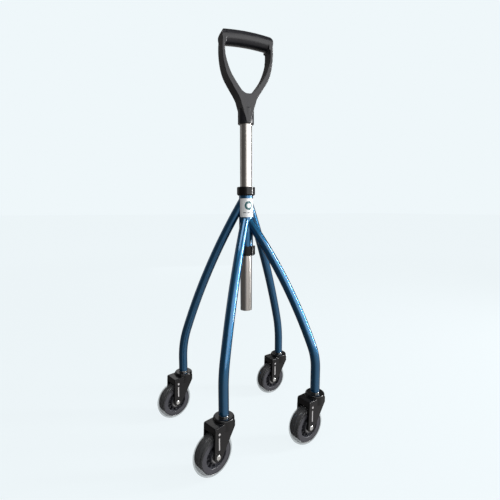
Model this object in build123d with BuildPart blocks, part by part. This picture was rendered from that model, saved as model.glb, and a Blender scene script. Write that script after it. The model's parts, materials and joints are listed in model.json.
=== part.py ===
from build123d import *
from math import acos, cos, degrees, radians, sin
import os

# Four-wheeled walking cane. Millimetres, +Z up. The pieces are drawn about the mast's axis, with the
# floor at z = 0, +X towards the narrow pair of legs and +Y the way the cane is walked. At the end they
# are moved together, so that the origin is the middle of the base on the floor.

# ---- driving dimensions -------------------------------------------------------------------------

fit_gap = 0.03            # between pieces pressed together
running_gap = 0.06        # radial, between a shaft and what turns or slides on it

# mast and handle
mast_radius = 12.5
mast_wall = 1.5
mast_bottom = 252.5
mast_top = 672.0
tube_end_chamfer = 0.4
stop_groove_height = 8.0  # turned groove near the mast's lower end
stop_groove_width = 1.2
stop_groove_depth = 0.3
socket_radius = 16.7
socket_bottom = 647.0
socket_top = 677.0
handle_top = 826.3
handle_half_depth = 15.0
bar_thickness = 28.5
bar_arch_radius = 436.0   # the bar bows upwards
bar_rounding = 13.0
wedge_foot = (33.8, 9.0)  # depth and width of the wedge at the socket's lower end
wedge_foot_rise = 3.0
wedge_top_width = 44.0
screw_height = 660.0
handle_turn = -3.1        # degrees, the way the handle is turned on its mast
screw_radius = 2.0
screw_tip = 9.0           # out from the mast's axis
screw_seat = 15.4         # where the screw's head bears, out from the mast's axis
screw_head_radius = 3.6
screw_head_height = 1.6

# head tube, with its bush below and its collet and collar above
head_radius = 15.0
head_wall = 1.5
head_bottom = 394.5
head_top = 503.0
bush_radius = 19.6
bush_bottom = 374.0
spigot_length = 30.0
collar_radius = 19.2
collar_bottom = 501.0
collar_top = 519.0
collet_top = 515.0
collet_seat_height = 8.0  # above the head tube's rim, before the collet narrows
collet_slot = 1.2
label_bottom = 456.0
label_top = 495.0
label_half_angle = 79.0
label_thickness = 0.25

# legs: a straight foot, a short bend and a long sweep up to the head tube
leg_radius = 9.5
leg_wall = 1.5
leg_bottom = 102.8
leg_inner_end = 5.0       # how near the mast's axis a leg's centre line runs before it is coped
cope_reach = 40.0         # how far past the head tube's ends its cylinder is cut out of a leg
leg_insert_length = 28.0
washer_radius = 9.3
washer_gap = 0.3          # under the washer, over the castor's boss

# side: (bearing from +X, foot's distance from the mast, straight foot's top, bend radius, bend angle,
# sweep radius)
narrow_pair = (38.4, 159.6, 152.0, 123.0, 21.5, 994.0)
wide_pair = (121.7, 147.3, 132.0, 225.0, 17.8, 1429.0)

# castors, drawn with the stem on the Z axis and the wheel behind it, towards +X
wheel_radius = 40.0
wheel_half_width = 12.0
trail = 26.2              # from the stem's axis back to the axle
stem_radius = 5.5
stem_grip_radius = 5.0    # where the leg's insert holds it
stem_head_radius = 8.0
stem_head_height = 2.5
stem_head_gap = 0.3
stem_point = 1.5
boss_radius = 19.5
boss_bottom = 80.8
boss_top = 100.0
boss_rounding = 3.0
crown_bottom = 82.0
crown_top = 95.0
crown_front = -8.0
crown_back = 33.0
crown_half_width = 16.8
crown_corner = 2.0
crown_rounding = 1.2
plate_inner = 12.8        # fork plates, measured out from the wheel's middle
plate_outer = 15.8
plate_front = -13.8
plate_back = 32.8
plate_top = 93.0
plate_shoulder = 11.0
plate_end_radius = 10.5
plate_end_offset = (-1.5, 1.0)  # from the axle
strip_outer = 17.2
strip_half_width = 8.8
strip_top_half_width = 7.6
strip_top = 92.5
strip_shoulder = 8.0
strip_lean = -1.2
inlay_strip = (23.0, 2.4)
inlay_strip_place = (-1.6, 24.5)  # from the axle
inlay_dot_radius = 2.2
inlay_dot_place = (-2.2, 42.5)    # from the axle
inlay_thickness = 0.3
axle_radius = 3.97
axle_cap_radius = 5.0
axle_cap_reach = 18.2
axle_cap_rounding = 1.6
axle_nut_depth = 1.2
axle_seat = 15.2          # where the bolt's head and the nut bear on the plates
bearing_outer = 11.0
bearing_width = 7.0
spacer_wall = 1.4
hub_half_width = 12.3
hub_radius = 13.0
web_half_width = 2.5
dish_radius = 21.5        # the rim's inner edge
rim_radius = 31.0
rim_half_width = 11.2
rib_half_width = 5.0      # the rib that the tyre is moulded round
rib_radius = 35.0
spoke_count = 12
spoke_width = 1.8
spoke_half_height = 7.5
tyre_shoulder = 34.5      # where the tread starts to curve over
swivel_bearing_radius = 13.0
swivel_bearing_height = 9.8
swivel_groove = (8.0, 10.6)

# the way each wheel lies from its stem, in degrees from +X
castor_headings = {
    "front_right": 282.5,
    "rear_right": 289.8,
    "front_left": 280.6,
    "rear_left": 289.2,
}

leg_shapes = {
    "front_right": (narrow_pair, 1),
    "rear_right": (narrow_pair, -1),
    "front_left": (wide_pair, 1),
    "rear_left": (wide_pair, -1),
}

pieces = []


def keep(piece, label):
    """Names a finished piece and adds it to the cane."""
    piece.label = label
    pieces.append(piece)


def ring(outer, inner, bottom, top):
    """A plain ring about the Z axis."""
    with BuildPart() as hoop:
        with BuildSketch(Plane.XY.offset(bottom)):
            Circle(outer)
            Circle(inner, mode=Mode.SUBTRACT)
        extrude(amount=top - bottom)
    return hoop


# ---- mast -----------------------------------------------------------------------------------------

with BuildPart() as mast_tube:
    with BuildSketch(Plane.XY.offset(mast_bottom)):
        Circle(mast_radius)
        Circle(mast_radius - mast_wall, mode=Mode.SUBTRACT)
    extrude(amount=mast_top - mast_bottom)
    chamfer(mast_tube.edges().group_by(Axis.Z)[0], tube_end_chamfer)
    with BuildSketch(Plane.XY.offset(mast_bottom + stop_groove_height)):
        Circle(mast_radius + 1)
        Circle(mast_radius - stop_groove_depth, mode=Mode.SUBTRACT)
    extrude(amount=stop_groove_width, mode=Mode.SUBTRACT)
    with BuildSketch(Plane.YZ):
        with Locations((0, screw_height)):
            Circle(screw_radius + 0.1)
    extrude(amount=-mast_radius - 1, mode=Mode.SUBTRACT)
keep(mast_tube.part.rotate(Axis.Z, handle_turn), "mast_tube")

# ---- handle ---------------------------------------------------------------------------------------

arch_centre = handle_top - bar_arch_radius
underside_radius = bar_arch_radius - bar_thickness
shoulder_half = 48.0      # half width where the top corner starts
arm_half = 54.0           # half width over the arms
opening_half = 48.0       # half width of the hand opening at the bar
neck_half = 11.5
opening_bottom = 705.0


def arch_height(radius, across):
    """Height of the arch of this radius at a distance from the middle of the bar."""
    return arch_centre + (radius**2 - across**2) ** 0.5


def bar_waste(depth_side, half_span, at_underside):
    """What is cut from one long edge of the bar to round it, swept along its arch."""
    half_angle = degrees(acos(1 - 2 * (half_span / bar_arch_radius / 2) ** 2))
    with BuildPart() as waste:
        with BuildLine(Plane.YZ) as arch:
            CenterArc((0, arch_centre), bar_arch_radius, 90 + half_angle, -2 * half_angle)
        with BuildSketch(Plane(arch.line @ 0, x_dir=(1, 0, 0), z_dir=arch.line % 0)):
            across = depth_side * (handle_half_depth - bar_rounding / 2 + 0.5)
            middle = bar_thickness - bar_rounding / 2 + 0.5 if at_underside else bar_rounding / 2 - 0.5
            round_y = bar_thickness - bar_rounding if at_underside else bar_rounding
            with Locations((across, middle)):
                Rectangle(bar_rounding + 1, bar_rounding + 1)
            with Locations((depth_side * (handle_half_depth - bar_rounding), round_y)):
                Circle(bar_rounding, mode=Mode.SUBTRACT)
        sweep(path=arch.line)
    return waste


wastes = [bar_waste(side, arm_half + 3, False) for side in (1, -1)]
wastes += [bar_waste(side, opening_half - 0.3, True) for side in (1, -1)]

with BuildPart() as d_handle:
    # the bow: a D in the Y-Z plane, with the hand opening through it
    with BuildSketch(Plane.YZ):
        with BuildLine():
            Line((0, socket_top - 3), (neck_half, socket_top - 3))
            Line((neck_half, socket_top - 3), (neck_half, socket_top))
            side = Spline((neck_half, socket_top), (27.2, 708), (44.8, 736.5), (53.5, 772), (53.6, 803))
            shoulder = (shoulder_half, arch_height(bar_arch_radius, shoulder_half))
            ThreePointArc(side @ 1, (53.0, 817), shoulder)
            RadiusArc(shoulder, (0, handle_top), -bar_arch_radius)
            mirror(about=Plane.YZ)
        make_face()
        with BuildLine():
            corner = (opening_half, arch_height(underside_radius, opening_half))
            lower_side = ((0, opening_bottom), (18.6, 716.5), (35.4, 740.3), (45.3, 765.2), corner)
            Spline(*lower_side, tangents=((1, 0), (0, 1)))
            RadiusArc(corner, (0, handle_top - bar_thickness), -underside_radius)
            mirror(about=Plane.YZ)
        make_face(mode=Mode.SUBTRACT)
    extrude(amount=handle_half_depth, both=True)
    # the bar is round, between the arms and over their tops
    for waste in wastes:
        add(waste.part, mode=Mode.SUBTRACT)
    # a flat-faced wedge runs down over the socket, front and back
    with BuildSketch(Plane.XY.offset(socket_bottom + wedge_foot_rise)):
        Rectangle(*wedge_foot)
    with BuildSketch(Plane.XY.offset(opening_bottom)):
        Rectangle(2 * handle_half_depth, wedge_top_width)
    loft(ruled=True)
    # the round socket for the mast
    with BuildSketch(Plane.XY.offset(socket_bottom)):
        Circle(socket_radius)
    extrude(amount=socket_top - socket_bottom)
    with BuildSketch(Plane.XY.offset(socket_bottom)):
        Circle(mast_radius + fit_gap)
    extrude(amount=mast_top - socket_bottom + 0.5, mode=Mode.SUBTRACT)
    # pilot and counterbore of the screw that holds it, at the back
    with BuildSketch(Plane.YZ):
        with Locations((0, screw_height)):
            Circle(screw_radius + fit_gap)
    extrude(amount=-socket_radius - 2, mode=Mode.SUBTRACT)
    with BuildSketch(Plane.YZ.offset(-screw_seat)):
        with Locations((0, screw_height)):
            Circle(screw_head_radius + 0.2)
    extrude(amount=-2 * screw_head_height, mode=Mode.SUBTRACT)
keep(d_handle.part.rotate(Axis.Z, handle_turn), "d_handle")

with BuildPart() as handle_screw:
    with BuildSketch(Plane.YZ.offset(-screw_tip)):
        with Locations((0, screw_height)):
            Circle(screw_radius)
    extrude(amount=screw_tip - screw_seat)
    with BuildSketch(Plane.YZ.offset(-screw_seat)):
        with Locations((0, screw_height)):
            Circle(screw_head_radius)
    extrude(amount=-screw_head_height)
    fillet(handle_screw.edges().group_by(Axis.X)[0], screw_head_height / 2)
    # its cross recess
    with BuildSketch(Plane.YZ.offset(-screw_seat - screw_head_height)):
        with Locations((0, screw_height)):
            Rectangle(screw_head_radius, 0.7)
            Rectangle(0.7, screw_head_radius)
    extrude(amount=1.0, mode=Mode.SUBTRACT)
keep(handle_screw.part.rotate(Axis.Z, handle_turn), "handle_screw")

# ---- head tube, bush, collet, collar and label ----------------------------------------------------

head_bore = head_radius - head_wall
slide_bore = mast_radius + running_gap

head_tube = ring(head_radius, head_bore, head_bottom, head_top)
keep(head_tube.part, "head_tube")

with BuildPart() as lower_bush:
    with BuildSketch(Plane.XY.offset(bush_bottom)):
        Circle(bush_radius)
    extrude(amount=head_bottom - bush_bottom)
    chamfer(lower_bush.edges().group_by(Axis.Z)[0], 2.0)
    fillet(lower_bush.edges().group_by(Axis.Z)[-1], 1.2)
    with BuildSketch(Plane.XY.offset(head_bottom)):
        Circle(head_bore - fit_gap)
    extrude(amount=spigot_length)
    with BuildSketch(Plane.XY.offset(bush_bottom)):
        Circle(slide_bore)
    extrude(amount=head_bottom - bush_bottom + spigot_length, mode=Mode.SUBTRACT)
keep(lower_bush.part, "lower_bush")

with BuildPart() as collet:
    # spigot in the head tube, a seat on its rim, then the fingers that grip the mast
    with BuildSketch(Plane.XZ):
        Polygon(
            (0, head_top - spigot_length),
            (head_bore - fit_gap, head_top - spigot_length),
            (head_bore - fit_gap, head_top),
            (head_radius, head_top),
            (head_radius, head_top + collet_seat_height),
            (head_radius - 1, collet_top),
            (0, collet_top),
            align=None,
        )
    revolve(axis=Axis.Z)
    with BuildSketch(Plane.XY.offset(head_top - spigot_length)):
        Circle(slide_bore)
    extrude(amount=spigot_length + collet_top - head_top, mode=Mode.SUBTRACT)
    with BuildSketch(Plane.XY.offset(head_top + 3)):
        Rectangle(3 * head_radius, collet_slot)
        Rectangle(collet_slot, 3 * head_radius)
    extrude(amount=collet_top - head_top, mode=Mode.SUBTRACT)
keep(collet.part, "collet")

with BuildPart() as locking_collar:
    # a twist ring over the collet, hollow inside, with a lip at the top that clears the mast
    clear = 0.35
    with BuildSketch(Plane.XZ):
        Polygon(
            (head_radius + clear, collar_bottom),
            (collar_radius - 2.6, collar_bottom),
            (collar_radius, collar_bottom + 2.4),
            (collar_radius, collar_top - 0.8),
            (collar_radius - 0.8, collar_top),
            (mast_radius + clear, collar_top),
            (mast_radius + clear, collet_top + clear),
            (head_radius - 1 + clear, collet_top + clear),
            (head_radius + clear, head_top + collet_seat_height),
            align=None,
        )
    revolve(axis=Axis.Z)
keep(locking_collar.part, "locking_collar")

with BuildPart() as label:
    with BuildSketch(Plane.XY.offset(label_bottom)):
        with BuildLine():
            label_radius = head_radius + label_thickness / 2 + 0.01
            CenterArc((0, 0), label_radius, -label_half_angle, 2 * label_half_angle)
        trace(line_width=label_thickness)
    extrude(amount=label_top - label_bottom)
keep(label.part, "label")

# ---- legs -----------------------------------------------------------------------------------------


def leg(shape, side):
    """One bent tube, in the upright plane through the mast's axis, coped to the head tube."""
    bearing, foot, straight_top, bend_radius, bend_angle, sweep_radius = shape
    bearing = radians(side * bearing)
    outwards = Vector(cos(bearing), sin(bearing), 0)
    upright = Plane(origin=(0, 0, 0), x_dir=outwards, z_dir=outwards.cross(Vector(0, 0, 1)))
    bend_end = foot - bend_radius * (1 - cos(radians(bend_angle)))
    lean_at_head = degrees(acos(cos(radians(bend_angle)) - (bend_end - leg_inner_end) / sweep_radius))
    with BuildPart() as tube:
        with BuildLine(upright) as centre_line:
            straight = Line((foot, leg_bottom), (foot, straight_top))
            bend = JernArc(straight @ 1, straight % 1, bend_radius, bend_angle)
            JernArc(bend @ 1, bend % 1, sweep_radius, lean_at_head - bend_angle)
        with BuildSketch(Plane(centre_line.line @ 0, z_dir=(0, 0, 1))):
            Circle(leg_radius)
            Circle(leg_radius - leg_wall, mode=Mode.SUBTRACT)
        sweep(path=centre_line.line)
        with BuildSketch(Plane.XY.offset(head_bottom - cope_reach)):
            Circle(head_radius)
        extrude(amount=head_top - head_bottom + 2 * cope_reach, mode=Mode.SUBTRACT)
        if shape is narrow_pair:
            split(bisect_by=Plane.XZ, keep=Keep.BOTTOM if side > 0 else Keep.TOP)
    return tube


feet = {}
for name, (shape, side) in leg_shapes.items():
    bearing, foot = radians(side * shape[0]), shape[1]
    feet[name] = (foot * cos(bearing), foot * sin(bearing))
    tube = leg(shape, side)
    keep(tube.part, f"{name}_leg")

with BuildPart() as leg_inserts:
    # plastic plugs that hold the castor stems in the feet of the legs
    with BuildSketch(Plane.XY.offset(leg_bottom)):
        with Locations(*feet.values()):
            Circle(leg_radius - leg_wall - fit_gap)
            Circle(stem_grip_radius + fit_gap, mode=Mode.SUBTRACT)
    extrude(amount=leg_insert_length)
keep(leg_inserts.part, "leg_inserts")

with BuildPart() as stem_washers:
    with BuildSketch(Plane.XY.offset(boss_top + washer_gap)):
        with Locations(*feet.values()):
            Circle(washer_radius)
            Circle(stem_radius + fit_gap, mode=Mode.SUBTRACT)
    extrude(amount=leg_bottom - boss_top - washer_gap)
    rims = stem_washers.edges().group_by(Axis.Z)[-1].filter_by(lambda edge: edge.radius > stem_radius + 1)
    chamfer(rims, 0.5)
keep(stem_washers.part, "stem_washers")

# ---- castor, made once ----------------------------------------------------------------------------

axle_plane = Plane(origin=(trail, 0, wheel_radius), x_dir=(0, 1, 0), z_dir=(1, 0, 0))
axle_line = Axis((trail, 0, wheel_radius), (0, 1, 0))
stem_head_top = boss_bottom - stem_head_gap

with BuildPart() as castor_stem:
    with BuildSketch(Plane.XZ):
        Polygon(
            (0, stem_head_top - stem_head_height),
            (stem_head_radius, stem_head_top - stem_head_height),
            (stem_head_radius, stem_head_top),
            (stem_radius, stem_head_top),
            (stem_radius, leg_bottom),
            (stem_grip_radius, leg_bottom),
            (stem_grip_radius, leg_bottom + leg_insert_length),
            (stem_grip_radius - stem_point, leg_bottom + leg_insert_length + stem_point),
            (0, leg_bottom + leg_insert_length + stem_point),
            align=None,
        )
    revolve(axis=Axis.Z)

with BuildPart() as fork:
    # a square-ended crown over the wheel
    with BuildSketch(Plane.XY.offset(crown_bottom)):
        with Locations(((crown_back + crown_front) / 2, 0)):
            Rectangle(crown_back - crown_front, 2 * crown_half_width)
        fillet(vertices().group_by(Axis.X)[-1], crown_corner)
    extrude(amount=crown_top - crown_bottom)
    fillet(fork.edges().group_by(Axis.Z)[-1], crown_rounding)
    # two plates that narrow down to the axle, each with a raised strip on its outside
    for way in (1, -1):
        with BuildSketch(Plane.XZ.offset(-way * plate_inner)):
            with Locations((trail + plate_end_offset[0], wheel_radius + plate_end_offset[1])):
                Circle(plate_end_radius)
            with Locations(((plate_front + plate_back) / 2, plate_top - plate_shoulder / 2)):
                Rectangle(plate_back - plate_front, plate_shoulder)
            make_hull()
        extrude(amount=-way * (plate_outer - plate_inner))
        with BuildSketch(Plane.XZ.offset(-way * plate_outer)):
            with Locations((trail, wheel_radius)):
                Circle(strip_half_width)
            with Locations((trail + strip_lean, strip_top - strip_shoulder / 2)):
                Rectangle(2 * strip_top_half_width, strip_shoulder)
            make_hull()
        extrude(amount=-way * (strip_outer - plate_outer))
    # the round swivel boss
    with BuildSketch(Plane.XY.offset(boss_bottom)):
        Circle(boss_radius)
    extrude(amount=boss_top - boss_bottom)
    fillet(fork.edges().group_by(Axis.Z)[-1], boss_rounding)
    # seat of the swivel bearing, open below, and the hole for the stem
    with BuildSketch(Plane.XY.offset(boss_bottom)):
        Circle(swivel_bearing_radius + fit_gap)
    extrude(amount=swivel_bearing_height + 0.2, mode=Mode.SUBTRACT)
    with BuildSketch(Plane.XY.offset(boss_bottom)):
        Circle(stem_radius + 0.4)
    extrude(amount=boss_top - boss_bottom, mode=Mode.SUBTRACT)
    # holes for the axle, with a seat for its head and its nut
    with BuildSketch(Plane.XZ):
        with Locations((trail, wheel_radius)):
            Circle(axle_radius + fit_gap)
    extrude(amount=strip_outer + 1, both=True, mode=Mode.SUBTRACT)
    for way in (1, -1):
        with BuildSketch(Plane.XZ.offset(-way * axle_seat)):
            with Locations((trail, wheel_radius)):
                Circle(axle_cap_radius + 0.3)
        extrude(amount=-way * 4, mode=Mode.SUBTRACT)

with BuildPart() as swivel_bearing:
    with BuildSketch(Plane.XY.offset(boss_bottom + 0.1)):
        Circle(swivel_bearing_radius)
        Circle(stem_radius + running_gap, mode=Mode.SUBTRACT)
    extrude(amount=swivel_bearing_height)
    with BuildSketch(Plane.XY.offset(boss_bottom + 0.1)):
        Circle(swivel_groove[1])
        Circle(swivel_groove[0], mode=Mode.SUBTRACT)
    extrude(amount=0.6, mode=Mode.SUBTRACT)

with BuildPart() as fork_inlays:
    # a bright strip and a bright dot let into the outside of each plate
    for way in (1, -1):
        with BuildSketch(Plane.XZ.offset(-way * strip_outer)):
            with Locations((trail + inlay_strip_place[0], wheel_radius + inlay_strip_place[1])):
                SlotOverall(*inlay_strip, rotation=90)
            with Locations((trail + inlay_dot_place[0], wheel_radius + inlay_dot_place[1])):
                Circle(inlay_dot_radius)
        extrude(amount=-way * inlay_thickness)

with BuildPart() as axle_bolt:
    with BuildSketch(Plane.XZ.offset(-axle_seat)):
        with Locations((trail, wheel_radius)):
            Circle(axle_cap_radius)
    extrude(amount=axle_seat - axle_cap_reach)
    fillet(axle_bolt.edges().group_by(Axis.Y)[-1], axle_cap_rounding)
    with BuildSketch(Plane.XZ.offset(-axle_seat)):
        with Locations((trail, wheel_radius)):
            Circle(axle_radius)
    extrude(amount=2 * axle_seat + axle_nut_depth)

with BuildPart() as axle_nut:
    with BuildSketch(Plane.XZ.offset(axle_seat)):
        with Locations((trail, wheel_radius)):
            Circle(axle_cap_radius)
    extrude(amount=axle_cap_reach - axle_seat)
    fillet(axle_nut.edges().group_by(Axis.Y)[0], axle_cap_rounding)
    with BuildSketch(Plane.XZ.offset(axle_seat)):
        with Locations((trail, wheel_radius)):
            Circle(axle_radius + fit_gap)
    extrude(amount=axle_nut_depth, mode=Mode.SUBTRACT)

with BuildPart() as wheel_core:
    with BuildSketch(axle_plane):
        # hub, thin web, rim, and the rib that the tyre is moulded round
        for half_width, inner, outer in (
            (hub_half_width, axle_radius + 2, hub_radius),
            (web_half_width, hub_radius - 1, dish_radius + 1),
            (rim_half_width, dish_radius, rim_radius),
            (rib_half_width, rim_radius - 1, rib_radius),
        ):
            with Locations((0, (inner + outer) / 2)):
                Rectangle(2 * half_width, outer - inner)
        for way in (1, -1):
            with Locations((way * (hub_half_width - bearing_width / 2), bearing_outer / 2)):
                Rectangle(bearing_width + 0.2, bearing_outer + 2 * fit_gap, mode=Mode.SUBTRACT)
    revolve(axis=axle_line)
    # spokes stand out of the web on both sides
    with BuildSketch(Plane(origin=(trail, 0, wheel_radius), x_dir=(1, 0, 0), z_dir=(0, -1, 0))):
        with PolarLocations((hub_radius + dish_radius) / 2, spoke_count):
            Rectangle(dish_radius - hub_radius + 1, spoke_width)
    extrude(amount=spoke_half_height, both=True)

with BuildPart() as tyre:
    with BuildSketch(axle_plane):
        seat = rim_radius + fit_gap
        shoulder = (wheel_half_width, tyre_shoulder)
        with BuildLine():
            Polyline((0, seat), (rim_half_width, seat), (wheel_half_width, seat + 1), shoulder)
            mirror(about=Plane.YZ)
            ThreePointArc(shoulder, (0, wheel_radius), (-wheel_half_width, tyre_shoulder))
        make_face()
        with Locations((0, rim_radius)):
            groove_height = 2 * (rib_radius + fit_gap - rim_radius)
            Rectangle(2 * (rib_half_width + fit_gap), groove_height, mode=Mode.SUBTRACT)
    revolve(axis=axle_line)

with BuildPart() as wheel_bearings:
    with BuildSketch(axle_plane):
        for way in (1, -1):
            middle = way * (hub_half_width - bearing_width / 2)
            with Locations((middle, (bearing_outer + axle_radius + running_gap) / 2)):
                Rectangle(bearing_width, bearing_outer - axle_radius - running_gap)
            with Locations((way * hub_half_width, (bearing_outer + axle_radius) / 2)):
                Rectangle(1.0, 3.4, mode=Mode.SUBTRACT)
    revolve(axis=axle_line)

with BuildPart() as bearing_spacer:
    with BuildSketch(axle_plane):
        with Locations((0, axle_radius + running_gap + spacer_wall / 2)):
            Rectangle(2 * (hub_half_width - bearing_width - running_gap), spacer_wall)
    revolve(axis=axle_line)

castor_pieces = {
    "castor_stem": castor_stem,
    "fork": fork,
    "swivel_bearing": swivel_bearing,
    "fork_inlays": fork_inlays,
    "axle_bolt": axle_bolt,
    "axle_nut": axle_nut,
    "wheel_core": wheel_core,
    "tyre": tyre,
    "wheel_bearings": wheel_bearings,
    "bearing_spacer": bearing_spacer,
}

for name, heading in castor_headings.items():
    turned = Vector(cos(radians(heading)), sin(radians(heading)), 0)
    place = Plane(origin=(*feet[name], 0), x_dir=turned, z_dir=(0, 0, 1)).location
    for kind, piece in castor_pieces.items():
        keep(piece.part.moved(place), f"{name}_{kind}")

# ---- the whole cane, moved to the middle of its base ------------------------------------------------

extent = pieces[0].bounding_box()
for piece in pieces:
    extent = extent.add(piece.bounding_box())
base_middle = Vector(-extent.center().X, -extent.center().Y, -extent.min.Z)

os.makedirs("parts", exist_ok=True)
for piece in pieces:
    placed = piece.moved(Location(base_middle))
    placed.label = piece.label
    export_step(placed, f"parts/{placed.label}.step")
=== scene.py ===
import json
import math

import bmesh
import bpy
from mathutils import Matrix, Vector


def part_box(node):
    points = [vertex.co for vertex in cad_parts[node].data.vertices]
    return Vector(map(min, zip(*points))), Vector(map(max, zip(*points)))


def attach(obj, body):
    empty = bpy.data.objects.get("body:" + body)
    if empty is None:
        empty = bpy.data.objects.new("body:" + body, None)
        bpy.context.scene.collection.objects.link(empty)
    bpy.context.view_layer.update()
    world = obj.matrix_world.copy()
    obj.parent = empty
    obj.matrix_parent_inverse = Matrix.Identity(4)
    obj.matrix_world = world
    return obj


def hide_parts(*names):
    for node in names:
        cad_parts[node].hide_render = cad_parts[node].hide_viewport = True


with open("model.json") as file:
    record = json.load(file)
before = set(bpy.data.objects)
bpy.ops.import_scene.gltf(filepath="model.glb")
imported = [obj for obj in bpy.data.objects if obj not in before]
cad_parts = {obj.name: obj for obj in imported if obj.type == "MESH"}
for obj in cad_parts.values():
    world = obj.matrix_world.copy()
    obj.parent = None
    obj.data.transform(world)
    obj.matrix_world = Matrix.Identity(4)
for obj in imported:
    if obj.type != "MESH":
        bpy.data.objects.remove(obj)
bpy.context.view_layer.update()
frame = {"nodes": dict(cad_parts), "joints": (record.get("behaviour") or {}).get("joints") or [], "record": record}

# A four-wheeled walking cane: black D-handle, anodised mast, blue bent-tube legs, swivel castors.

MM = 0.001
CASTORS = ("front_right", "rear_right", "front_left", "rear_left")

# the wheel in millimetres: radii out from the axle, and half widths along it
WHEEL = 40.0
TYRE_HALF = 12.0
SHOULDER = 34.5     # where the tread starts to curve over
BODY = 36.4         # the black body inside the half-clear tyre
BODY_HALF = 5.0
RIM = 31.0
RIM_HALF = 11.2
DISH = 21.5         # the inside of the rim's flange
HUB = 13.0
HUB_HALF = 12.3
WEB_HALF = 2.5
BORE = 11.0         # the bearings' seat
SPOKES = 12
TYRE_STEPS = 128    # faces round the tyre
CORE_STEPS = 96

nodes = frame["nodes"]
joints = {joint["name"]: joint for joint in frame["joints"]}


def middle(node):
    """The middle of a CAD node's box, in metres."""
    low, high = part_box(node)
    return (low + high) / 2


mast = middle("mast_tube")


# ---- materials ----------------------------------------------------------------------------------


def linear(colour):
    """An sRGB hex colour as linear red, green, blue and an alpha of 1."""
    channels = [int(colour[i:i + 2], 16) / 255 for i in (1, 3, 5)]
    return (*[c / 12.92 if c <= 0.04045 else ((c + 0.055) / 1.055) ** 2.4 for c in channels], 1.0)


def per_metre(size_mm):
    """A texture's scale for a pattern of this size in millimetres."""
    return 1 / (size_mm * MM)


def add(tree, kind, links=None, **settings):
    """Adds a node. A setting is one of its own or a socket's value; links maps sockets to outputs."""
    made = tree.nodes.new(kind)
    for name, value in settings.items():
        if hasattr(made, name):
            setattr(made, name, value)
        else:
            made.inputs[name.replace("_", " ")].default_value = value
    for socket, value in (links or {}).items():
        if isinstance(value, bpy.types.NodeSocket):
            tree.links.new(value, made.inputs[socket])
        else:
            made.inputs[socket].default_value = value
    return made


def finish_of(name, **shader):
    """A new material with one Principled shader: its node tree, shader and object coordinates."""
    made = bpy.data.materials.new(name)
    made.use_nodes = True
    tree = made.node_tree
    surface = tree.nodes["Principled BSDF"]
    for socket, value in shader.items():
        surface.inputs[socket.replace("_", " ")].default_value = value
    place = tree.nodes.new("ShaderNodeTexCoord").outputs["Object"]
    return made, tree, surface, place


def metallic_blue_paint():
    """Powder coat with fine metal flake under a clear coat, baked on steel tube. The flake makes the
    blue glitter and shift a little in depth; the clear coat flows into a faint orange peel, so its
    narrow highlights are crisp but not quite straight."""
    made, tree, surface, place = finish_of(
        "metallic_blue_powder_coat",
        Metallic=0.85, Roughness=0.3, Coat_Weight=1.0, Coat_Roughness=0.05, Coat_IOR=1.5,
    )
    # flakes of 0.05 mm are drawn ten times coarser, or they would vanish in the picture
    flake = add(tree, "ShaderNodeTexVoronoi", {"Vector": place, "Scale": per_metre(0.5)})
    drift = add(tree, "ShaderNodeTexNoise", {"Vector": place, "Scale": per_metre(14), "Detail": 4})
    tint = add(tree, "ShaderNodeMixRGB", {
        "Fac": drift.outputs["Fac"], "Color1": linear("#0F5077"), "Color2": linear("#155C86"),
    })
    glitter = add(tree, "ShaderNodeMapRange", {
        "Value": flake.outputs["Distance"], "From Max": 0.6, "To Min": 0.82, "To Max": 1.1,
    })
    colour = add(tree, "ShaderNodeMixRGB", {
        "Fac": 1.0, "Color1": tint.outputs["Color"], "Color2": glitter.outputs["Result"],
    }, blend_type="MULTIPLY")
    tree.links.new(colour.outputs["Color"], surface.inputs["Base Color"])
    peel = add(tree, "ShaderNodeTexNoise", {"Vector": place, "Scale": per_metre(1.8), "Detail": 1})
    bump = add(tree, "ShaderNodeBump", {
        "Height": peel.outputs["Fac"], "Strength": 0.12, "Distance": 0.04 * MM,
    })
    tree.links.new(bump.outputs["Normal"], surface.inputs["Normal"])
    tree.links.new(bump.outputs["Normal"], surface.inputs["Coat Normal"])
    return made


def anodised_aluminium():
    """Drawn aluminium tube, satin anodised. Die lines run along it and scuffs from the bushes follow
    them, so the reflection is drawn out in fine upright streaks of warmer and cooler grey."""
    made, tree, surface, place = finish_of("satin_anodised_aluminium", Metallic=1.0)
    stretch = add(tree, "ShaderNodeMapping", {"Vector": place, "Scale": (1, 1, 0.006)})
    # die lines of 0.05 mm are drawn at 0.4 mm so that they show
    lines = add(tree, "ShaderNodeTexNoise", {
        "Vector": stretch.outputs["Vector"], "Scale": per_metre(0.4), "Detail": 6, "Roughness": 0.6,
    })
    cloud = add(tree, "ShaderNodeTexNoise", {"Vector": place, "Scale": per_metre(22), "Detail": 5})
    colour = add(tree, "ShaderNodeMixRGB", {
        "Fac": cloud.outputs["Fac"], "Color1": linear("#B9B4AE"), "Color2": linear("#C8C6C2"),
    })
    tree.links.new(colour.outputs["Color"], surface.inputs["Base Color"])
    gloss = add(tree, "ShaderNodeMapRange", {"Value": lines.outputs["Fac"], "To Min": 0.22, "To Max": 0.36})
    tree.links.new(gloss.outputs["Result"], surface.inputs["Roughness"])
    bump = add(tree, "ShaderNodeBump", {
        "Height": lines.outputs["Fac"], "Strength": 0.2, "Distance": 0.03 * MM,
    })
    tree.links.new(bump.outputs["Normal"], surface.inputs["Normal"])
    return made


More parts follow.
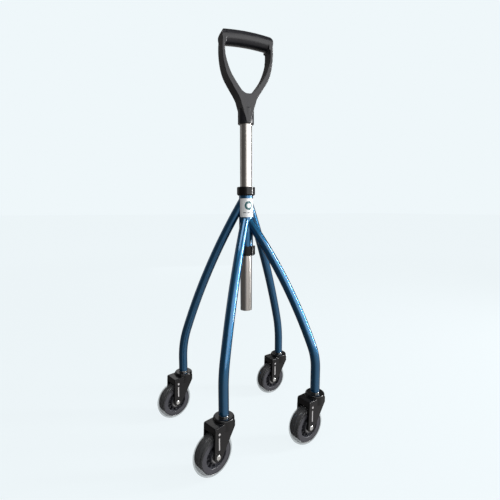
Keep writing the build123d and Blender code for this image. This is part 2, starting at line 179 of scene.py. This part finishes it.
def moulded_black(name, dark, pale, rough, grain_mm, depth_mm, polish, sheen=0.5):
    """Black plastic as it leaves a spark-eroded mould: a fine even grain breaks the highlights up, and
    handling has polished it a little here and there."""
    made, tree, surface, place = finish_of(name, IOR=1.5, Specular_IOR_Level=sheen)
    grain = add(tree, "ShaderNodeTexNoise", {
        "Vector": place, "Scale": per_metre(grain_mm), "Detail": 3, "Roughness": 0.65,
    })
    handling = add(tree, "ShaderNodeTexNoise", {"Vector": place, "Scale": per_metre(17), "Detail": 4})
    colour = add(tree, "ShaderNodeMixRGB", {
        "Fac": handling.outputs["Fac"], "Color1": linear(dark), "Color2": linear(pale),
    })
    tree.links.new(colour.outputs["Color"], surface.inputs["Base Color"])
    gloss = add(tree, "ShaderNodeMapRange", {
        "Value": handling.outputs["Fac"], "From Min": 0.3, "From Max": 0.7,
        "To Min": rough - polish, "To Max": rough + polish,
    })
    tree.links.new(gloss.outputs["Result"], surface.inputs["Roughness"])
    bump = add(tree, "ShaderNodeBump", {
        "Height": grain.outputs["Fac"], "Strength": 0.35, "Distance": depth_mm * MM,
    })
    tree.links.new(bump.outputs["Normal"], surface.inputs["Normal"])
    return made


def bright_zinc():
    """Bright zinc plate on turned steel: cool silver with faint rings from the lathe and a slight
    yellow and blue drift from the passivation."""
    made, tree, surface, place = finish_of("bright_zinc_plate", Metallic=1.0)
    drift = add(tree, "ShaderNodeTexNoise", {"Vector": place, "Scale": per_metre(5), "Detail": 3})
    colour = add(tree, "ShaderNodeMixRGB", {
        "Fac": drift.outputs["Fac"], "Color1": linear("#D9D8CC"), "Color2": linear("#D2D8DF"),
    })
    tree.links.new(colour.outputs["Color"], surface.inputs["Base Color"])
    rings = add(tree, "ShaderNodeTexNoise", {"Vector": place, "Scale": per_metre(0.3), "Detail": 2})
    gloss = add(tree, "ShaderNodeMapRange", {"Value": rings.outputs["Fac"], "To Min": 0.12, "To Max": 0.3})
    tree.links.new(gloss.outputs["Result"], surface.inputs["Roughness"])
    return made


def ground_steel():
    """Bearing steel, ground: grey, with fine grinding marks that spread its highlight."""
    made, tree, surface, place = finish_of("ground_bearing_steel", Metallic=1.0)
    marks = add(tree, "ShaderNodeTexNoise", {"Vector": place, "Scale": per_metre(0.25), "Detail": 3})
    colour = add(tree, "ShaderNodeMixRGB", {
        "Fac": marks.outputs["Fac"], "Color1": linear("#8E9092"), "Color2": linear("#A6A8AA"),
    })
    gloss = add(tree, "ShaderNodeMapRange", {"Value": marks.outputs["Fac"], "To Min": 0.2, "To Max": 0.4})
    tree.links.new(colour.outputs["Color"], surface.inputs["Base Color"])
    tree.links.new(gloss.outputs["Result"], surface.inputs["Roughness"])
    return made


def silver_foil():
    """Hot-stamped silver foil in a moulded recess: bright, with the plastic's grain showing through."""
    made, tree, surface, place = finish_of("hot_stamped_silver_foil", Metallic=0.9)
    grain = add(tree, "ShaderNodeTexNoise", {"Vector": place, "Scale": per_metre(0.4), "Detail": 3})
    colour = add(tree, "ShaderNodeMixRGB", {
        "Fac": grain.outputs["Fac"], "Color1": linear("#D8DADC"), "Color2": linear("#F2F3F4"),
    })
    gloss = add(tree, "ShaderNodeMapRange", {"Value": grain.outputs["Fac"], "To Min": 0.25, "To Max": 0.42})
    tree.links.new(colour.outputs["Color"], surface.inputs["Base Color"])
    tree.links.new(gloss.outputs["Result"], surface.inputs["Roughness"])
    return made


def smoky_polyurethane():
    """Cast polyurethane tyre, smoky and half clear outside the wheel's rim, over a black body. Over the
    body it looks nearly black; round its outer edge light gets through, so it shows a pale rim there."""
    clear_from = (RIM + 0.6) * MM
    clear_to = (RIM + 1.0) * MM
    made, tree, surface, place = finish_of(
        "smoky_cast_polyurethane", IOR=1.5, Coat_Weight=0.5, Coat_Roughness=0.12,
    )
    parts = add(tree, "ShaderNodeSeparateXYZ", {"Vector": place})
    flat = add(tree, "ShaderNodeCombineXYZ", {"X": parts.outputs["X"], "Y": parts.outputs["Y"]})
    radius = add(tree, "ShaderNodeVectorMath", {0: flat.outputs["Vector"]}, operation="LENGTH")
    skin = add(tree, "ShaderNodeMapRange", {
        "Value": radius.outputs["Value"], "From Min": clear_from, "From Max": clear_to,
    })
    cover = add(tree, "ShaderNodeMapRange", {"Value": skin.outputs["Result"], "To Min": 1.0, "To Max": 0.3})
    tree.links.new(cover.outputs["Result"], surface.inputs["Alpha"])
    cloud = add(tree, "ShaderNodeTexNoise", {"Vector": place, "Scale": per_metre(7), "Detail": 4})
    core = add(tree, "ShaderNodeMixRGB", {
        "Fac": cloud.outputs["Fac"], "Color1": linear("#101114"), "Color2": linear("#191A1E"),
    })
    colour = add(tree, "ShaderNodeMixRGB", {
        "Fac": skin.outputs["Result"], "Color1": core.outputs["Color"], "Color2": linear("#5A5C5E"),
    })
    tree.links.new(colour.outputs["Color"], surface.inputs["Base Color"])
    scuff = add(tree, "ShaderNodeTexNoise", {"Vector": place, "Scale": per_metre(1.2), "Detail": 5})
    gloss = add(tree, "ShaderNodeMapRange", {"Value": scuff.outputs["Fac"], "To Min": 0.24, "To Max": 0.5})
    tree.links.new(gloss.outputs["Result"], surface.inputs["Roughness"])
    bump = add(tree, "ShaderNodeBump", {
        "Height": scuff.outputs["Fac"], "Strength": 0.15, "Distance": 0.05 * MM,
    })
    tree.links.new(bump.outputs["Normal"], surface.inputs["Normal"])
    return made


def printed_label():
    """White polyester film, printed: a plain teal ring over a row of short grey bars, under a
    semi-gloss laminate with a little waviness from being wrapped by hand."""
    made, tree, surface, place = finish_of(
        "printed_polyester_label", IOR=1.5, Roughness=0.32, Coat_Weight=0.4, Coat_Roughness=0.2,
    )
    low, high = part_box("label")
    ring_height = low.z + 0.62 * (high.z - low.z)
    bars_height = low.z + 0.24 * (high.z - low.z)
    wrap_radius = 15.25 * MM
    ring_radius = 7.0 * MM
    ring_half_width = 2.1 * MM
    ring_edge = 0.3 * MM
    bar_half_height = 0.9 * MM
    bar_width = 3.3 * MM
    bar_pitch = 4.5 * MM
    row_half_width = 12.3 * MM
    round_mast = add(tree, "ShaderNodeMapping", {"Vector": place, "Location": (-mast.x, -mast.y, 0)})
    parts = add(tree, "ShaderNodeSeparateXYZ", {"Vector": round_mast.outputs["Vector"]})
    turn = add(tree, "ShaderNodeMath", {0: parts.outputs["Y"], 1: parts.outputs["X"]}, operation="ARCTAN2")
    across = add(tree, "ShaderNodeMath", {0: turn.outputs["Value"], 1: wrap_radius}, operation="MULTIPLY")
    up_ring = add(tree, "ShaderNodeMath", {0: parts.outputs["Z"], 1: ring_height}, operation="SUBTRACT")
    from_ring = add(tree, "ShaderNodeCombineXYZ", {
        "X": across.outputs["Value"], "Y": up_ring.outputs["Value"],
    })
    distance = add(tree, "ShaderNodeVectorMath", {0: from_ring.outputs["Vector"]}, operation="LENGTH")
    off_line = add(tree, "ShaderNodeMath", {
        0: distance.outputs["Value"], 1: ring_radius,
    }, operation="SUBTRACT")
    off_ring = add(tree, "ShaderNodeMath", {0: off_line.outputs["Value"]}, operation="ABSOLUTE")
    ring = add(tree, "ShaderNodeMapRange", {
        "Value": off_ring.outputs["Value"], "From Min": ring_half_width,
        "From Max": ring_half_width + ring_edge, "To Min": 1.0, "To Max": 0.0,
    })
    up_bars = add(tree, "ShaderNodeMath", {0: parts.outputs["Z"], 1: bars_height}, operation="SUBTRACT")
    tall = add(tree, "ShaderNodeMath", {0: up_bars.outputs["Value"]}, operation="ABSOLUTE")
    in_row = add(tree, "ShaderNodeMath", {
        0: tall.outputs["Value"], 1: bar_half_height,
    }, operation="LESS_THAN")
    beat = add(tree, "ShaderNodeMath", {0: across.outputs["Value"], 1: bar_pitch}, operation="PINGPONG")
    in_bar = add(tree, "ShaderNodeMath", {0: beat.outputs["Value"], 1: bar_width}, operation="LESS_THAN")
    wide = add(tree, "ShaderNodeMath", {0: across.outputs["Value"]}, operation="ABSOLUTE")
    in_span = add(tree, "ShaderNodeMath", {
        0: wide.outputs["Value"], 1: row_half_width,
    }, operation="LESS_THAN")
    bar = add(tree, "ShaderNodeMath", {
        0: in_row.outputs["Value"], 1: in_bar.outputs["Value"],
    }, operation="MULTIPLY")
    bars = add(tree, "ShaderNodeMath", {
        0: bar.outputs["Value"], 1: in_span.outputs["Value"],
    }, operation="MULTIPLY")
    paper = add(tree, "ShaderNodeTexNoise", {"Vector": place, "Scale": per_metre(6), "Detail": 3})
    white = add(tree, "ShaderNodeMixRGB", {
        "Fac": paper.outputs["Fac"], "Color1": linear("#D4D8DA"), "Color2": linear("#E6E9EA"),
    })
    with_ring = add(tree, "ShaderNodeMixRGB", {
        "Fac": ring.outputs["Result"], "Color1": white.outputs["Color"], "Color2": linear("#12595E"),
    })
    colour = add(tree, "ShaderNodeMixRGB", {
        "Fac": bars.outputs["Value"], "Color1": with_ring.outputs["Color"], "Color2": linear("#6E7478"),
    })
    tree.links.new(colour.outputs["Color"], surface.inputs["Base Color"])
    bump = add(tree, "ShaderNodeBump", {
        "Height": paper.outputs["Fac"], "Strength": 0.1, "Distance": 0.2 * MM,
    })
    tree.links.new(bump.outputs["Normal"], surface.inputs["Normal"])
    return made


paint = metallic_blue_paint()
aluminium = anodised_aluminium()
grip_plastic = moulded_black(
    "satin_black_polypropylene", "#101116", "#15171D", rough=0.33, grain_mm=0.5, depth_mm=0.05, polish=0.05,
)
ring_plastic = moulded_black(
    "black_acetal", "#08080A", "#0D0D0F", rough=0.18, grain_mm=0.6, depth_mm=0.02, polish=0.02, sheen=0.35,
)
castor_nylon = moulded_black(
    "glass_filled_black_nylon", "#08090B", "#0E0F12",
    rough=0.2, grain_mm=0.45, depth_mm=0.02, polish=0.02, sheen=0.4,
)
core_plastic = moulded_black(
    "grey_black_polypropylene_core", "#313238", "#3B3C42",
    rough=0.4, grain_mm=0.5, depth_mm=0.03, polish=0.03,
)
zinc = bright_zinc()
bearing_steel = ground_steel()
foil = silver_foil()
polyurethane = smoky_polyurethane()
label_film = printed_label()

finishes = {
    "mast_aluminium": aluminium,
    "handle_plastic": grip_plastic,
    "black_plastic": ring_plastic,
    "castor_nylon": castor_nylon,
    "blue_paint": paint,
    "label_film": label_film,
    "silver_print": foil,
    "zinc_steel": zinc,
    "bearing_steel": bearing_steel,
    "core_plastic": core_plastic,
    "tyre_polyurethane": polyurethane,
}

for subpart in frame["record"]["subparts"]:
    surface_mesh = nodes[subpart["node"]].data
    surface_mesh.materials.clear()
    surface_mesh.materials.append(finishes[subpart["material_slot"]])


# ---- pieces -------------------------------------------------------------------------------------


def piece(name, mesh, body, slot, replaced, place=None):
    """A visible piece that rides on a body, with the finish of one of the record's slots."""
    made = bpy.data.objects.new(name, mesh)
    bpy.context.scene.collection.objects.link(made)
    if place:
        made.matrix_world = place
    mesh.materials.clear()
    mesh.materials.append(finishes[slot])
    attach(made, body)
    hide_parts(*replaced)
    return made


def applied(made, **modifiers):
    """Adds modifiers in turn and applies them to the piece's mesh."""
    for kind, settings in modifiers.items():
        modifier = made.modifiers.new(kind, kind)
        for setting, value in settings.items():
            setattr(modifier, setting, value)
    depsgraph = bpy.context.evaluated_depsgraph_get()
    shape = bpy.data.meshes.new_from_object(made.evaluated_get(depsgraph))
    made.modifiers.clear()
    old = made.data
    made.data = shape
    bpy.data.meshes.remove(old)


def moulded(name, node, body, slot, voxel_mm, rounds):
    """A moulding with the CAD node's shape, its edges eased as they leave the mould."""
    mesh = nodes[node].data.copy()
    made = piece(name, mesh, body, slot, [node])
    applied(
        made,
        REMESH={"mode": "VOXEL", "voxel_size": voxel_mm * MM, "use_smooth_shade": True},
        SMOOTH={"factor": 0.5, "iterations": rounds},
    )
    made.data.name = name


moulded("grip_and_socket", "d_handle", "mast", "handle_plastic", voxel_mm=0.8, rounds=4)
for corner in CASTORS:
    moulded(
        f"{corner}_moulded_fork", f"{corner}_fork", f"{corner}_castor", "castor_nylon",
        voxel_mm=0.5, rounds=3,
    )


def revolved(outline, steps, made=None):
    """A closed outline of (along the axle, radius) points, turned about the local Z axis. It is added to
    the bmesh given, or to a new one."""
    made = made or bmesh.new()
    rings = []
    for step in range(steps):
        turn = 2 * math.pi * step / steps
        rings.append([made.verts.new((r * math.cos(turn), r * math.sin(turn), z)) for z, r in outline])
    for here, there in zip(rings, rings[1:] + rings[:1]):
        for i in range(len(outline)):
            j = (i + 1) % len(outline)
            made.faces.new((here[i], there[i], there[j], here[j]))
    bmesh.ops.recalc_face_normals(made, faces=made.faces)
    return made


def finished(made, name, crease_degrees):
    """A bmesh as a mesh, smooth but for its sharp edges."""
    mesh = bpy.data.meshes.new(name)
    made.to_mesh(mesh)
    made.free()
    mesh.shade_smooth()
    mesh.set_sharp_from_angle(angle=math.radians(crease_degrees))
    return mesh


def rounded(corners, radius, steps):
    """A closed outline with each corner cut by a short arc-like curve of this reach."""
    smooth = []
    count = len(corners)
    for i, corner in enumerate(corners):
        here = Vector(corner)
        before = Vector(corners[i - 1]) - here
        after = Vector(corners[(i + 1) % count]) - here
        reach = min(radius, before.length * 0.45, after.length * 0.45)
        start, end = here + before.normalized() * reach, here + after.normalized() * reach
        for k in range(steps + 1):
            t = k / steps
            smooth.append(tuple((1 - t) ** 2 * start + 2 * t * (1 - t) * here + t * t * end))
    return smooth


def tyre_outline():
    """The tyre's section: round tread with a thin mould line, drawn from one side over to the other."""
    seam_height = 0.12
    seam_steps = 0.6
    half_steps = 12
    radius = (TYRE_HALF**2 + (WHEEL - SHOULDER) ** 2) / (2 * (WHEEL - SHOULDER))
    half_angle = math.asin(TYRE_HALF / radius)
    bead = [(RIM_HALF, RIM + 0.03), (RIM_HALF + 0.5, RIM + 0.4), (TYRE_HALF, RIM + 1.4)]
    tread = []
    for step in range(2 * half_steps + 1):
        turn = half_angle * (1 - step / half_steps)
        seam = seam_height * math.exp(-((step - half_steps) / seam_steps) ** 2)
        tread.append((radius * math.sin(turn), WHEEL - seam_height - radius * (1 - math.cos(turn)) + seam))
    return bead + tread + [(-z, r) for z, r in reversed(bead)]


def body_outline():
    """The black body inside the half-clear tyre: a plain ring just outside the rim."""
    inside = RIM + 0.2
    return [(BODY_HALF, inside), (BODY_HALF, BODY), (-BODY_HALF, BODY), (-BODY_HALF, inside)]


def core_outline():
    """The core's section: hub, dish and flanged rim, with the rim's outside just under the tyre."""
    side = [(HUB_HALF, BORE), (HUB_HALF, HUB), (WEB_HALF, HUB + 1.0), (WEB_HALF, DISH - 0.8)]
    side += [(RIM_HALF - 0.6, DISH), (RIM_HALF, DISH + 0.8), (RIM_HALF, RIM)]
    return side + [(-z, r) for z, r in reversed(side)]


def spoke(made, turn):
    """One rib of the dish, from the hub to the rim, on both sides of the web, thinner at its edges."""
    along = Vector((math.cos(turn), math.sin(turn), 0))
    across = Vector((-math.sin(turn), math.cos(turn), 0))
    half, edge = 0.9, 0.6
    top, shoulder = 7.5, 7.0
    section = [(-half, -shoulder), (-edge, -top), (edge, -top), (half, -shoulder)]
    section += [(half, shoulder), (edge, top), (-edge, top), (-half, shoulder)]
    sunk = 0.6      # into the hub and the rim
    foot, waist = 1.25, 0.95
    ends = []
    for radius, wide in ((HUB - sunk, foot), ((HUB + DISH) / 2, waist), (DISH + sunk, foot)):
        places = [along * radius + across * (y * wide) + Vector((0, 0, z)) for y, z in section]
        ends.append([made.verts.new(place * MM) for place in places])
    for here, there in zip(ends, ends[1:]):
        for i in range(len(section)):
            j = (i + 1) % len(section)
            made.faces.new((here[i], here[j], there[j], there[i]))


def scaled(outline):
    """An outline in millimetres, in metres."""
    return [(z * MM, r * MM) for z, r in outline]


for corner in CASTORS:
    roll = joints[f"{corner}_roll"]
    stand = Vector(roll["axis"]).to_track_quat("Z", "Y").to_matrix().to_4x4()
    stand.translation = Vector(roll["pos_m"])

    tyre = revolved(scaled(tyre_outline()), TYRE_STEPS)
    revolved(scaled(rounded(body_outline(), radius=0.8, steps=3)), CORE_STEPS, tyre)
    piece(
        f"{corner}_cast_tyre", finished(tyre, "cast_tyre", crease_degrees=50), f"{corner}_wheel",
        "tyre_polyurethane", [f"{corner}_tyre"], stand,
    )

    core = revolved(scaled(rounded(core_outline(), radius=0.5, steps=3)), CORE_STEPS)
    for k in range(SPOKES):
        spoke(core, 2 * math.pi * k / SPOKES)
    bmesh.ops.recalc_face_normals(core, faces=core.faces)
    piece(
        f"{corner}_spoked_core", finished(core, "spoked_core", crease_degrees=35), f"{corner}_wheel",
        "core_plastic", [f"{corner}_wheel_core"], stand,
    )


# ---- stage --------------------------------------------------------------------------------------

scene = bpy.context.scene
scene.view_settings.view_transform = "Standard"
backdrop = linear("#EFF7FA")

# a wide pale floor: it glows evenly, so that it runs into the backdrop, and takes a faint shadow
floor_reach = 30.0
glow_near = 0.94
glow_far = 0.97
corners = [(-floor_reach, -floor_reach, 0), (floor_reach, -floor_reach, 0)]
corners += [(floor_reach, floor_reach, 0), (-floor_reach, floor_reach, 0)]
floor_mesh = bpy.data.meshes.new("floor")
floor_mesh.from_pydata(corners, [], [(0, 1, 2, 3)])
floor = bpy.data.objects.new("floor", floor_mesh)
scene.collection.objects.link(floor)
floor.visible_glossy = False
floor.visible_diffuse = False
floor_paint, floor_tree, floor_surface, floor_place = finish_of(
    "pale_floor", Roughness=1.0, Specular_IOR_Level=0.0,
    Base_Color=(0.05, 0.054, 0.056, 1.0), Emission_Color=backdrop,
)
away = add(floor_tree, "ShaderNodeVectorMath", {0: floor_place}, operation="LENGTH")
glow = add(floor_tree, "ShaderNodeMapRange", {
    "Value": away.outputs["Value"], "From Min": 0.5, "From Max": 4.0,
    "To Min": glow_near, "To Max": glow_far,
}, interpolation_type="SMOOTHSTEP")
floor_tree.links.new(glow.outputs["Result"], floor_surface.inputs["Emission Strength"])
floor_mesh.materials.append(floor_paint)

world = bpy.data.worlds.new("studio")
world.use_nodes = True
scene.world = world
sky = world.node_tree
seen = sky.nodes["Background"]
seen.inputs["Color"].default_value = backdrop
# the studio that lights the cane: dim and warm all round, brighter low down on the key light's side
bright_side = Vector((0.84, 0.42, -0.34)).normalized()
toward = add(sky, "ShaderNodeTexCoord")
lobe = add(sky, "ShaderNodeVectorMath", {
    0: toward.outputs["Generated"], 1: bright_side,
}, operation="DOT_PRODUCT")
bounce = add(sky, "ShaderNodeMapRange", {
    "Value": lobe.outputs["Value"], "From Min": 0.2, "From Max": 1.0, "To Min": 0.16, "To Max": 1.0,
}, interpolation_type="SMOOTHSTEP")
lighting = add(sky, "ShaderNodeBackground", {
    "Color": linear("#D8D4D2"), "Strength": bounce.outputs["Result"],
})
rays = add(sky, "ShaderNodeLightPath")
both = add(sky, "ShaderNodeMixShader", {
    0: rays.outputs["Is Camera Ray"], 1: lighting.outputs[0], 2: seen.outputs[0],
})
sky.links.new(both.outputs["Shader"], sky.nodes["World Output"].inputs["Surface"])


CANE_MIDDLE = 0.45


def softbox(name, bearing, height, distance, width, tall, glow):
    """An area light round the mast, facing the middle of the cane. The bearing is in degrees, the glow
    is its brightness and the rest is in metres."""
    data = bpy.data.lights.new(name, "AREA")
    data.shape = "RECTANGLE"
    data.size = width
    data.size_y = tall
    data.energy = glow * math.pi * width * tall
    lamp = bpy.data.objects.new(name, data)
    scene.collection.objects.link(lamp)
    turn = math.radians(bearing)
    lamp.location = (mast.x + distance * math.cos(turn), mast.y + distance * math.sin(turn), height)
    aim = Vector((mast.x, mast.y, CANE_MIDDLE)) - lamp.location
    lamp.rotation_euler = aim.to_track_quat("-Z", "Y").to_euler()
    lamp.visible_camera = False


# name, bearing, height, distance, width, tall, glow
softbox("key", 27, 1.05, 1.7, 2.9, 1.6, 1.9)
softbox("strip", 68, 0.9, 1.7, 0.12, 1.5, 75.0)
softbox("top", -40, 2.2, 0.7, 1.2, 0.7, 4.0)
softbox("back", 165, 0.8, 2.0, 0.9, 1.6, 0.9)
softbox("side", 225, 0.8, 2.2, 0.8, 1.6, 0.5)

camera_data = bpy.data.cameras.new("camera")
camera = bpy.data.objects.new("camera", camera_data)
scene.collection.objects.link(camera)
scene.camera = camera
camera_data.sensor_width = 36.0
camera_data.lens = 24.78
camera_data.clip_end = 100.0
from_mast = (0.6794, -0.2959)
eye_height = 0.4730
heading = Vector((-0.9058, 0.4070, -0.1183))
camera.location = (mast.x + from_mast[0], mast.y + from_mast[1], eye_height)
camera.rotation_euler = heading.to_track_quat("-Z", "Y").to_euler()
